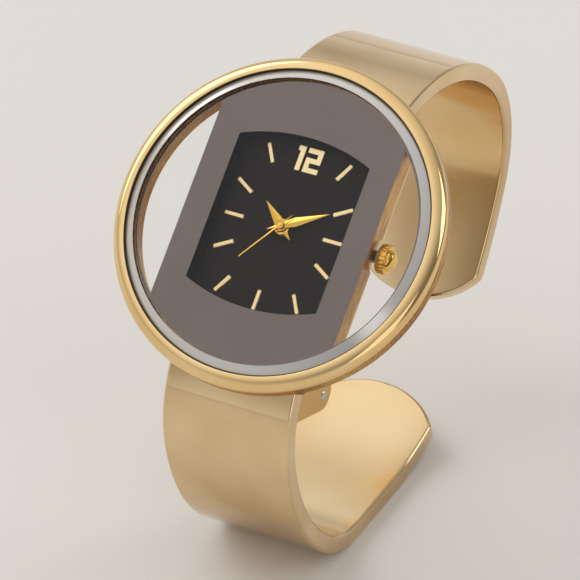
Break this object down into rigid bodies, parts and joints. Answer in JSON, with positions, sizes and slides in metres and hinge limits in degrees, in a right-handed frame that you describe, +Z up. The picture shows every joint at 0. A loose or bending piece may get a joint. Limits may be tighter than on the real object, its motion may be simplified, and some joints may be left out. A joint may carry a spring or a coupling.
{
  "type": "cuff watch",
  "caption": "Round quartz watch with a faceted glass and a small window dial, on a sprung two-armed metal cuff.",
  "frame": {"origin": "middle of the footprint, on the surface that the lower arm stands on", "axes": "+Z up, +X towards the crown at 3 o'clock, -Y the way the leaning face looks; the face leans back 41.1 degrees from level"},
  "size_m": [0.04, 0.0608, 0.0583],
  "materials": {
    "ring_gold": "polished rose gold plating",
    "case_gold": "brushed bronze gold plating",
    "cuff_gold": "satin champagne gold plating",
    "crown_gold": "polished gold plating",
    "steel": "bright steel",
    "back_steel": "satin steel",
    "crystal_glass": "polished faceted mineral glass",
    "mask_mirror": "dark metallised film on the back of the glass",
    "black_plastic": "moulded",
    "dial_brown": "dark brown lacquer with fine grooves",
    "marker_gold": "polished rose gold plating",
    "seal_rubber": "nitrile",
    "plate_brass": "machined",
    "wheel_brass": "gilt",
    "movement_plastic": "moulded",
    "board": "glass laminate",
    "copper_wire": "enamelled copper wire",
    "chip_black": "moulded",
    "magnet": "sintered magnet",
    "cell_steel": "satin"
  },
  "bodies": {
    "head": {"bezel_ring": "ring_gold", "case_body": "case_gold", "case_back": "back_steel", "case_back_gasket": "seal_rubber", "case_back_screws": "steel", "crystal": "crystal_glass", "crystal_gasket": "black_plastic", "mirror_mask": "mask_mirror", "dial_spacer": "black_plastic", "dial": "dial_brown", "hour_markers": "marker_gold", "numeral_12": "marker_gold", "crown_tube": "steel", "movement_holder": "movement_plastic", "main_plate": "plate_brass", "train_bridge": "plate_brass", "movement_screws": "steel", "circuit_board": "board", "timing_chip": "chip_black", "quartz_can": "steel", "coil_core": "steel", "coil_winding": "copper_wire", "stator": "steel", "battery": "cell_steel", "battery_insulator": "black_plastic", "battery_strap": "steel", "upper_hinge_block": "case_gold", "lower_hinge_block": "case_gold"},
    "seconds": {"second_hand": "marker_gold", "seconds_wheel": "wheel_brass"},
    "minutes": {"minute_hand": "marker_gold", "centre_wheel": "wheel_brass"},
    "hours": {"hour_hand": "marker_gold", "hour_wheel": "wheel_brass"},
    "third": {"third_wheel": "wheel_brass"},
    "drive": {"drive_wheel": "wheel_brass"},
    "motor": {"rotor": "magnet"},
    "motion": {"minute_wheel": "wheel_brass"},
    "clutch": {"clutch_wheel": "steel"},
    "winder": {"crown": "crown_gold", "crown_seal": "seal_rubber", "stem": "steel"},
    "upper_cuff": {"upper_arm": "cuff_gold", "upper_arm_ears": "cuff_gold", "upper_hinge_pin": "steel", "upper_hinge_spring": "steel"},
    "lower_cuff": {"lower_arm": "cuff_gold", "lower_arm_ears": "cuff_gold", "lower_hinge_pin": "steel", "lower_hinge_spring": "steel"}
  },
  "joints": [
    {"name": "second_hand_turn", "type": "hinge", "parent": "head", "child": "seconds", "pos_m": [0, -0.0132, 0.04267], "axis": [0, 0.6574, -0.7536], "continuous": true},
    {"name": "minute_hand_turn", "type": "hinge", "parent": "head", "child": "minutes", "pos_m": [0, -0.0132, 0.04267], "axis": [0, 0.6574, -0.7536], "continuous": true},
    {"name": "hour_hand_turn", "type": "hinge", "parent": "head", "child": "hours", "pos_m": [0, -0.01353, 0.04305], "axis": [0, 0.6574, -0.7536], "continuous": true},
    {"name": "third_wheel_turn", "type": "hinge", "parent": "head", "child": "third", "pos_m": [-0.00243, -0.01218, 0.0425], "axis": [0, 0.6574, -0.7536], "continuous": true},
    {"name": "drive_wheel_turn", "type": "hinge", "parent": "head", "child": "drive", "pos_m": [0.00195, -0.01144, 0.04315], "axis": [0, 0.6574, -0.7536], "continuous": true},
    {"name": "rotor_turn", "type": "hinge", "parent": "head", "child": "motor", "pos_m": [0.00356, -0.01062, 0.04426], "axis": [0, 0.6574, -0.7536], "continuous": true},
    {"name": "minute_wheel_turn", "type": "hinge", "parent": "head", "child": "motion", "pos_m": [0, -0.01484, 0.04151], "axis": [0, 0.6574, -0.7536], "continuous": true},
    {"name": "crown_turn", "type": "hinge", "parent": "head", "child": "clutch", "pos_m": [0.005, -0.01313, 0.0426], "axis": [1, 0, 0], "continuous": true},
    {"name": "crown_pull", "type": "slide", "parent": "clutch", "child": "winder", "axis": [1, 0, 0], "range_m": [0, 0.0008]},
    {"name": "upper_arm_open", "type": "hinge", "parent": "head", "child": "upper_cuff", "pos_m": [0, 0.00429, 0.04598], "axis": [1, 0, 0], "range_deg": [0, 20], "stiffness_Nm_per_rad": 0.04, "springref_deg": -20.05},
    {"name": "lower_arm_open", "type": "hinge", "parent": "head", "child": "lower_cuff", "pos_m": [0, -0.01885, 0.0258], "axis": [-1, 0, 0], "range_deg": [0, 20], "stiffness_Nm_per_rad": 0.04, "springref_deg": -20.05}
  ],
  "couplings": [
    {"joint": "minute_hand_turn", "follows": "second_hand_turn", "ratio": 0.016667},
    {"joint": "hour_hand_turn", "follows": "second_hand_turn", "ratio": 0.0013889},
    {"joint": "third_wheel_turn", "follows": "second_hand_turn", "ratio": -0.13333},
    {"joint": "minute_wheel_turn", "follows": "second_hand_turn", "ratio": -0.0055556},
    {"joint": "drive_wheel_turn", "follows": "second_hand_turn", "ratio": -5},
    {"joint": "rotor_turn", "follows": "second_hand_turn", "ratio": 30}
  ]
}
